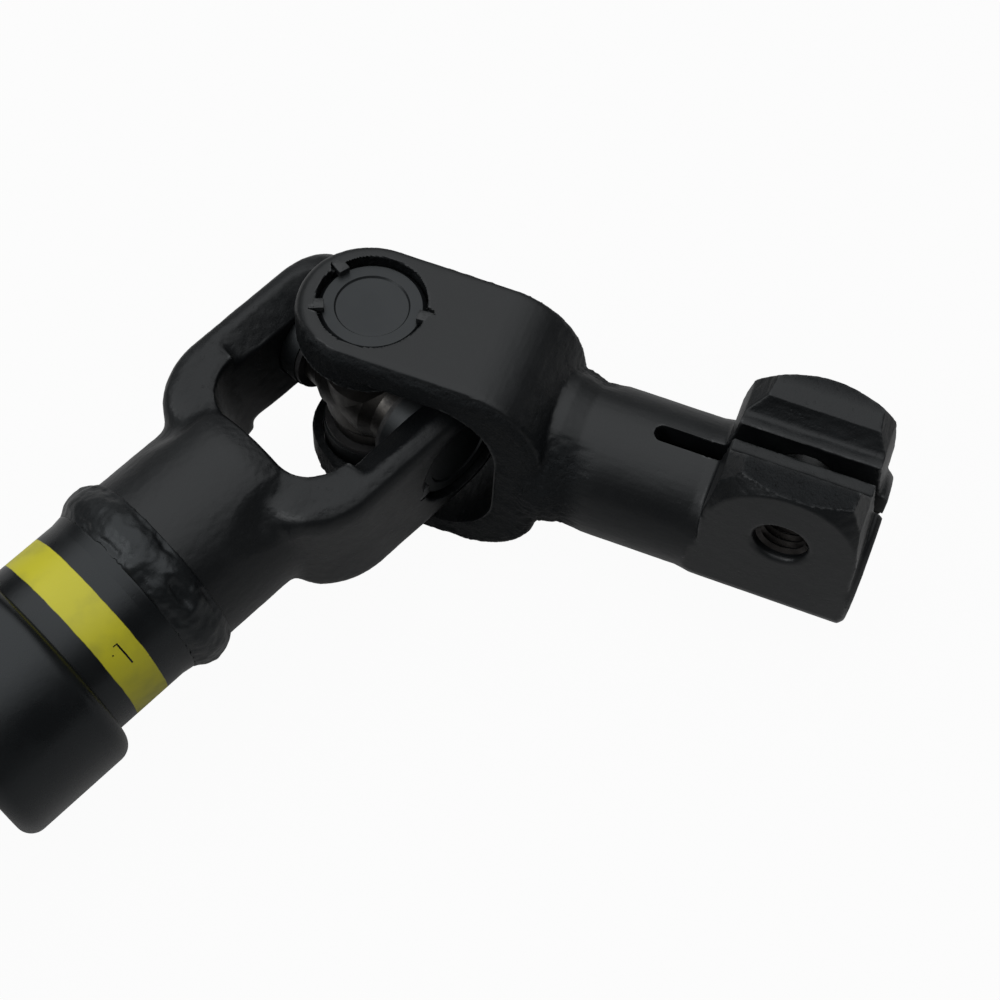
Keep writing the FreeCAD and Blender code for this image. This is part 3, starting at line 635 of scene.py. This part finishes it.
def stakeBlocks():  # the notches to cut and the tongues to add, in the yoke's own axes
    notches, tongues = [], []
    inner = stake["boreRadius"] - stake["reachIn"]
    outer = stake["boreRadius"] + stake["reachOut"]
    top = stake["earFace"] - stake["sink"]
    tongueSize = (outer - inner, stake["width"], top - stake["cupEnd"])
    tonguePlace = ((inner + outer) / 2, 0, (top + stake["cupEnd"]) / 2)
    notchSize = (stake["notchReach"], stake["notchWidth"], 2 * stake["notchDepth"])
    notchPlace = (stake["boreRadius"] + stake["notchReach"] / 2 - stake["overlap"],
                  (stake["width"] + stake["notchWidth"]) / 2 - stake["overlap"], stake["earFace"])
    for seat in seats:
        for degrees in stake["angles"]:
            turn = seat @ Matrix.Rotation(math.radians(degrees), 4, "Z")
            tongues.append(addBlock(tongueSize, tonguePlace, turn))
            notches.append(addBlock(notchSize, notchPlace, turn, stake["notchTaper"]))
    return notches, tongues


def joinPieces(pieces):
    deselectAll()
    for piece in pieces:
        piece.select_set(True)
    bpy.context.view_layer.objects.active = pieces[0]
    bpy.ops.object.join()
    return pieces[0]


def cutWith(piece, tool):
    applyModifier(piece, "BOOLEAN", object=tool, operation="DIFFERENCE", solver="EXACT")
    bpy.data.objects.remove(tool)


def roundArms(piece):
    x, y, z = readVectors(piece.data, "co").T / mm
    edges = smoothStep(*arm["edgeAcross"], np.abs(y)) * smoothStep(*arm["edgeOut"], np.abs(z))
    edges = edges + smoothStep(*arm["hubReach"], np.hypot(y, z))
    addWeights(piece, "arms", edges * smoothStep(*arm["start"], x) * fadeOut(arm["end"], x))
    applyModifier(piece, "SMOOTH", factor=0.5, iterations=arm["relax"], vertex_group="arms")
    x, y, z = readVectors(piece.data, "co").T / mm
    scoopX, scoopY, scoopZ = arm["scoopPlace"]
    along = arm["scoopStretch"] * (x - scoopX)
    reach = np.sqrt(along ** 2 + (np.abs(y) - scoopY) ** 2 + (np.abs(z) - scoopZ) ** 2)
    addWeights(piece, "scoops", fadeOut((0, arm["scoopReach"]), reach))
    applyModifier(piece, "DISPLACE", strength=-arm["scoopDepth"], mid_level=0.0, vertex_group="scoops")


def trimClamp(piece):
    place = readVectors(piece.data, "co")
    x, y, z = place.T / mm
    reach = np.hypot(x, y)
    wall = np.maximum(reach - stake["boreRadius"] / mm, 0) / np.maximum(reach, 1)
    thin = wall * smoothStep(*clampTrim["earEnd"], -x) * smoothStep(*clampTrim["earSide"], -z)
    place[:, :2] *= (1 - clampTrim["earThinning"] * thin)[:, None]
    crown = smoothStep(*clampTrim["crownRise"], z) * smoothStep(*clampTrim["crownSide"], y)
    crown = crown * smoothStep(*clampTrim["crownStart"], x)
    place[:, 2] -= clampTrim["crownDrop"] * crown
    piece.data.vertices.foreach_set("co", place.ravel())
    piece.data.update()


def maskSkin(piece, skin):  # for the material and for the reliefs that follow
    place = readVectors(piece.data, "co") / mm
    mask = np.clip(skin(place, readVectors(piece.data, "normal")), 0, 1)
    addAttribute(piece.data, "forged", mask)
    addAttribute(piece.data, "edge", edgeMask(piece.data))
    addWeights(piece, "scaly", mask)
    addWeights(piece, "swollen", mask * forging["swellShare"])


def makeStakes(nodeName, tongues, axes, body):
    piece = joinPieces(tongues)
    applyModifier(piece, "BEVEL", width=stake["round"], segments=2)
    placed(piece, axes)
    # the tongues take the lighter edge colour all over: edge wear and painted highlight
    addAttribute(piece.data, "edge", np.full(len(piece.data.vertices), stake["tongueWearHighlight"]))
    finishPiece(piece, nodeName + "_stakes", body, forgingCoat)
    smoothShade(piece)


def forgedCopy(nodeName, axes, reshape, skin, body):
    piece = bpy.data.objects.new(nodeName + "_skin", nodes[nodeName].data.copy())
    bpy.context.scene.collection.objects.link(piece)
    placed(piece, axes.inverted())
    recalculate(piece)
    applyModifier(piece, "REMESH", mode="VOXEL", voxel_size=forging["voxel"], use_smooth_shade=True)
    applyModifier(piece, "SMOOTH", factor=0.5, iterations=forging["relax"])
    reshape(piece)
    applyModifier(piece, "DECIMATE", ratio=forging["faces"] / (2 * len(piece.data.polygons)))
    notches, tongues = stakeBlocks()
    cutWith(piece, joinPieces(notches))
    maskSkin(piece, skin)
    placed(piece, axes)
    displace(piece, "swelling", "CLOUDS", forging["swellSize"], forging["swellDepth"], "swollen")
    displace(piece, "scale", "CLOUDS", forging["scaleSize"], forging["scaleDepth"], "scaly", noise_depth=2)
    smoothShade(piece, forging["sharpAngle"])
    finishPiece(piece, nodeName + "_skin", body, forgingCoat)
    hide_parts(nodeName)
    makeStakes(nodeName, tongues, axes, body)
    print(nodeName, "skin:", sum(len(face.vertices) - 2 for face in piece.data.polygons), "triangles")


for end in ends:
    forgedCopy(end + "_clamp_yoke", clampFrame(end), trimClamp, clampSkin, clampBody[end])
    forgedCopy(end + "_tube_yoke", tubeFrame(end), roundArms, tubeSkin, tubeBody[end])
print("forgings skinned")


# Bearing cups: the closed end stands nearer to the ear's face, with a pressed ring mark

cup = {
    "lift": 1.25 * mm,
    "liftFrom": 21.0 * mm,    # along the bore, from the cross
    "markReach": 8.3 * mm,
    "markScale": 0.90,        # the pressed ring mark's size over the solid's
    "sharpAngle": 25,
}


def makeCup(name, seat, body):
    piece = bpy.data.objects.new(name + "_raised", nodes[name].data.copy())
    bpy.context.scene.collection.objects.link(piece)
    placed(piece, seat.inverted())
    recalculate(piece)
    for vertex in piece.data.vertices:
        if vertex.co.z > cup["liftFrom"]:
            vertex.co.z += cup["lift"]
            if vertex.co.xy.length < cup["markReach"]:
                vertex.co.xy *= cup["markScale"]
    placed(piece, seat)
    finishPiece(piece, name + "_raised", body, cupCoat)
    selectOnly(piece)
    bpy.ops.mesh.customdata_custom_splitnormals_clear()
    smoothShade(piece, cup["sharpAngle"])
    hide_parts(name)


for end in ends:
    for name, axes, body in (("tube_a", tubeFrame(end), tubeBody[end]),
                             ("tube_b", tubeFrame(end) @ flip, tubeBody[end]),
                             ("clamp_top", clampFrame(end), clampBody[end]),
                             ("clamp_bottom", clampFrame(end) @ flip, clampBody[end])):
        makeCup(f"{end}_cup_{name}", axes, body)
print("cups set")


# Thread ridges in the tapped lug and serrations in the clamp's bore, in the clamp yoke's own axes

thread = {
    "root": 5.05 * mm,
    "crest": 4.25 * mm,
    "pitch": 1.5 * mm,
    "flat": 0.12 * mm,
    "start": -12.6 * mm,      # along Y, inside the near lug
    "turns": 6,
    "steps": 48,              # to each turn
    "along": 85.5 * mm,
    "height": 14.2 * mm,
}

serration = {
    "count": 36,
    "perTooth": 4,            # corners round the ring for each tooth
    "outer": 10.25 * mm,
    "root": 9.97 * mm,
    "tip": 9.45 * mm,
    "start": 55.0 * mm,
    "end": 101.0 * mm,
    "slitHalf": 1.9 * mm,
}


def makeThread(end):
    deselectAll()
    bpy.ops.mesh.primitive_circle_add(vertices=3, radius=1, location=(0, 0, 0))
    ridge = bpy.context.active_object
    half = thread["pitch"] / 2 - thread["flat"]
    corners = ((thread["root"], -half), (thread["crest"], 0), (thread["root"], half))
    for vertex, (across, along) in zip(ridge.data.vertices, corners):
        vertex.co = (across, 0, along)
    steps = thread["steps"] * thread["turns"]
    applyModifier(ridge, "SCREW", axis="Z", angle=2 * math.pi * thread["turns"], iterations=1, steps=steps,
                  render_steps=steps, screw_offset=thread["pitch"] * thread["turns"], use_smooth_shade=True)
    selectOnly(ridge)
    bpy.ops.object.mode_set(mode="EDIT")
    bpy.ops.mesh.select_mode(type="EDGE")
    bpy.ops.mesh.select_all(action="DESELECT")
    bpy.ops.mesh.select_non_manifold()
    bpy.ops.mesh.edge_face_add()
    bpy.ops.object.mode_set(mode="OBJECT")
    recalculate(ridge)
    stand = Matrix.Translation((thread["along"], thread["start"], thread["height"]))
    stand = stand @ Matrix.Rotation(-math.pi / 2, 4, "X")
    placed(ridge, clampFrame(end) @ stand)
    finishPiece(ridge, end + "_bolt_thread", clampBody[end], threadSteel)
    smoothShade(ridge, 30)


def makeSerrations(end):
    deselectAll()
    bpy.ops.mesh.primitive_circle_add(vertices=serration["count"] * serration["perTooth"],
                                      radius=serration["outer"], location=(0, 0, 0))
    ring = bpy.context.active_object
    bpy.ops.object.mode_set(mode="EDIT")
    bpy.ops.mesh.select_all(action="SELECT")
    bpy.ops.mesh.extrude_region_move()
    bpy.ops.transform.resize(value=[serration["root"] / serration["outer"]] * 3)
    bpy.ops.object.mode_set(mode="OBJECT")
    middle = (serration["root"] + serration["outer"]) / 2
    inner = [vertex for vertex in ring.data.vertices if vertex.co.length < middle]
    inner.sort(key=lambda vertex: math.atan2(vertex.co.y, vertex.co.x))
    for index, vertex in enumerate(inner):
        if index % serration["perTooth"] == 1:
            vertex.co *= serration["tip"] / serration["root"]
    bpy.ops.object.mode_set(mode="EDIT")
    bpy.ops.mesh.select_mode(type="FACE")
    bpy.ops.mesh.select_all(action="DESELECT")
    bpy.ops.object.mode_set(mode="OBJECT")
    for face in ring.data.polygons:
        face.select = abs(face.center.y) < serration["slitHalf"] and face.center.x > 0
    bpy.ops.object.mode_set(mode="EDIT")
    bpy.ops.mesh.delete(type="FACE")
    bpy.ops.mesh.select_all(action="SELECT")
    length = serration["end"] - serration["start"]
    bpy.ops.mesh.extrude_region_move(TRANSFORM_OT_translate={"value": (0, 0, length)})
    bpy.ops.object.mode_set(mode="OBJECT")
    recalculate(ring)
    # the ring's X, where its gap is, turns to the yoke's Z and its own Z to the yoke's X
    turn = Matrix(((0, 0, 1, 0), (0, 1, 0, 0), (1, 0, 0, 0), (0, 0, 0, 1)))
    stand = Matrix.Translation((serration["start"], 0, 0)) @ turn
    placed(ring, clampFrame(end) @ stand)
    recalculate(ring)
    finishPiece(ring, end + "_bore_serrations", clampBody[end], threadSteel)
    smoothShade(ring, 20)


for end in ends:
    makeThread(end)
    makeSerrations(end)
print("threads and serrations cut")


# Weld beads: lumpy metal with a crater where the arc stopped

weld = {
    "voxel": 0.34 * mm,
    "lumpSize": 5.0 * mm,
    "lumpDepth": 1.1 * mm,
    "rippleSize": 1.6 * mm,
    "rippleDepth": 0.18 * mm,
    "craterAngle": 137.0,     # about X, from +Y by way of +Z
    "craterHalfLength": 5.0 * mm,
    "craterHalfWidth": 2.0 * mm,
    "craterDepth": 0.9 * mm,
    "craterFade": (0.3, 1.0),
    "smoothing": 4,
    "proudStart": 2.4 * mm,   # below the bead's top, where its lumps begin and where they are full
    "proudFull": 1.2 * mm,
    "sinkEnd": 1.6 * mm,
    "edgeSink": 0.35 * mm,    # the bead's thin edges run in under the surfaces beside them
}


def makeWeld(end):
    nodeName = end + "_weld_bead"
    bead = bpy.data.objects.new(nodeName + "_lumps", nodes[nodeName].data.copy())
    bpy.context.scene.collection.objects.link(bead)
    recalculate(bead)
    applyModifier(bead, "REMESH", mode="VOXEL", voxel_size=weld["voxel"], use_smooth_shade=True)
    applyModifier(bead, "SMOOTH", factor=0.5, iterations=weld["smoothing"])
    low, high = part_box(nodeName)
    centre = (Vector(low) + Vector(high)) / 2
    radius = (high[2] - low[2]) / 2
    place = readVectors(bead.data, "co")
    outside = np.hypot(place[:, 1] - centre[1], place[:, 2] - centre[2])
    proud = smoothStep(radius - weld["proudStart"], radius - weld["proudFull"], outside)
    addWeights(bead, "proud", proud)
    angle = math.radians(weld["craterAngle"])
    turned = np.arctan2(place[:, 2] - centre[2], place[:, 1] - centre[1]) - angle
    ring = (turned + math.pi) % (2 * math.pi) - math.pi
    across = (place[:, 0] - centre[0]) / weld["craterHalfWidth"]
    reach = np.hypot(ring * radius / weld["craterHalfLength"], across)
    addWeights(bead, "crater", proud * fadeOut(weld["craterFade"], reach))
    displace(bead, "lumps", "CLOUDS", weld["lumpSize"], weld["lumpDepth"], "proud")
    displace(bead, "ripples", "CLOUDS", weld["rippleSize"], weld["rippleDepth"], "proud", noise_depth=1)
    applyModifier(bead, "DISPLACE", strength=-weld["craterDepth"], mid_level=0.0, vertex_group="crater")
    applyModifier(bead, "SMOOTH", factor=0.5, iterations=weld["smoothing"])
    place = readVectors(bead.data, "co")
    outside = np.maximum(np.hypot(place[:, 1] - centre[1], place[:, 2] - centre[2]), 1e-6)
    sunk = fadeOut((radius - weld["proudStart"], radius - weld["sinkEnd"]), outside)
    closer = 1 - weld["edgeSink"] * sunk / outside
    place[:, 1] = centre[1] + (place[:, 1] - centre[1]) * closer
    place[:, 2] = centre[2] + (place[:, 2] - centre[2]) * closer
    bead.data.vertices.foreach_set("co", place.ravel())
    bead.data.update()
    finishPiece(bead, nodeName + "_lumps", tubeBody[end], weldCoat)
    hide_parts(nodeName)


for end in ends:
    makeWeld(end)
print("welds laid")


# Camera at the photograph's viewing angle, fitted to the upper joint

cameraLook = {
    "acrossView": -25.0 * mm,     # the upper cross in the camera's view: right, down, away
    "downView": -23.8 * mm,
    "awayView": 356.5 * mm,
    "right": (0.705, -0.707, -0.065),
    "down": (-0.644, -0.599, -0.477),
    "focal": 1.8,                 # focal length over the picture's width
    "sensor": 36.0,
}


def makeCamera():
    right = Vector(cameraLook["right"]).normalized()
    down = Vector(cameraLook["down"])
    down = (down - right * down.dot(right)).normalized()
    away = right.cross(down)
    cross = Vector(named(frame["joints"], "upper_tilt")["pos_m"])
    eye = cross - right * cameraLook["acrossView"] - down * cameraLook["downView"]
    eye = eye - away * cameraLook["awayView"]
    data = bpy.data.cameras.new("camera")
    data.sensor_width = cameraLook["sensor"]
    data.lens = cameraLook["sensor"] * cameraLook["focal"]
    data.clip_start = 0.01
    camera = bpy.data.objects.new("camera", data)
    turn = Matrix((right, -down, -away)).transposed().to_4x4()
    camera.matrix_world = Matrix.Translation(eye) @ turn
    bpy.context.scene.collection.objects.link(camera)
    bpy.context.scene.camera = camera


makeCamera()


# Pale floor and soft studio light

studio = {
    "floorColor": (0.32, 0.32, 0.32, 1),
    "floorReach": 40.0,
    "floorLift": 0.96,            # how far the floor is lifted towards white for the camera
    "mirroredLift": 0.12,         # and where the object's own surface mirrors it
    "overhead": 1.60,             # brightness of the sky straight above, and near the horizon
    "horizon": 0.10,
    "skyUp": (0.16, 0.19, 1.0),   # the brightest part leans away from the camera
    "fadeStart": 0.46,            # height along it at which the sky starts to brighten
    "fadeEnd": 0.95,
    "lampSize": 0.5,
    "lampPower": 3.5,
    "lampPlace": (-0.75, 0.35, 0.85),
}


def seenRays(tree):  # 1 for what the camera sees, directly or in metal and glass
    path = tree.nodes.new("ShaderNodeLightPath").outputs
    mirrored = mathNode(tree, "MAXIMUM", path["Is Glossy Ray"], path["Is Transmission Ray"])
    return path["Is Camera Ray"], mirrored


def makeFloor():
    deselectAll()
    bpy.ops.mesh.primitive_plane_add(size=studio["floorReach"], location=(0, 0, 0))
    floor = bpy.context.active_object
    floor.name = "floor"
    material, tree, shader, place = newMaterial("floorPaper")
    shader.inputs["Base Color"].default_value = studio["floorColor"]
    shader.inputs["Roughness"].default_value = 0.9
    shader.inputs["Specular IOR Level"].default_value = 0.0
    glow = tree.nodes.new("ShaderNodeEmission")
    mix = tree.nodes.new("ShaderNodeMixShader")
    camera, mirrored = seenRays(tree)
    lift = mathNode(tree, "MAXIMUM", mathNode(tree, "MULTIPLY", camera, studio["floorLift"]),
                    mathNode(tree, "MULTIPLY", mirrored, studio["mirroredLift"]))
    tree.links.new(lift, mix.inputs[0])
    tree.links.new(shader.outputs[0], mix.inputs[1])
    tree.links.new(glow.outputs[0], mix.inputs[2])
    tree.links.new(mix.outputs[0], tree.nodes["Material Output"].inputs["Surface"])
    floor.data.materials.append(material)


def makeWorld():
    world = bpy.data.worlds.new("studioWorld")
    world.use_nodes = True
    bpy.context.scene.world = world
    tree = world.node_tree
    background = tree.nodes["Background"]
    direction = tree.nodes.new("ShaderNodeTexCoord").outputs["Generated"]
    height = tree.nodes.new("ShaderNodeVectorMath")
    height.operation = "DOT_PRODUCT"
    height.inputs[1].default_value = studio["skyUp"]
    tree.links.new(direction, height.inputs[0])
    level = rangeNode(tree, height.outputs["Value"], studio["fadeStart"], studio["fadeEnd"],
                      studio["horizon"], studio["overhead"])
    camera = tree.nodes.new("ShaderNodeLightPath").outputs["Is Camera Ray"]
    tree.links.new(mathNode(tree, "MAXIMUM", level, camera), background.inputs["Strength"])
    background.inputs["Color"].default_value = (1, 1, 1, 1)


def makeLamp():
    data = bpy.data.lights.new("softLamp", "AREA")
    data.shape = "SQUARE"
    data.size = studio["lampSize"]
    data.energy = studio["lampPower"]
    lamp = bpy.data.objects.new("softLamp", data)
    lamp.location = studio["lampPlace"]
    lamp.rotation_euler = (-lamp.location).to_track_quat("-Z", "Y").to_euler()
    bpy.context.scene.collection.objects.link(lamp)


makeFloor()
makeWorld()
makeLamp()
bpy.context.scene.view_settings.view_transform = "Standard"
print("studio ready")

bpy.context.view_layer.update()
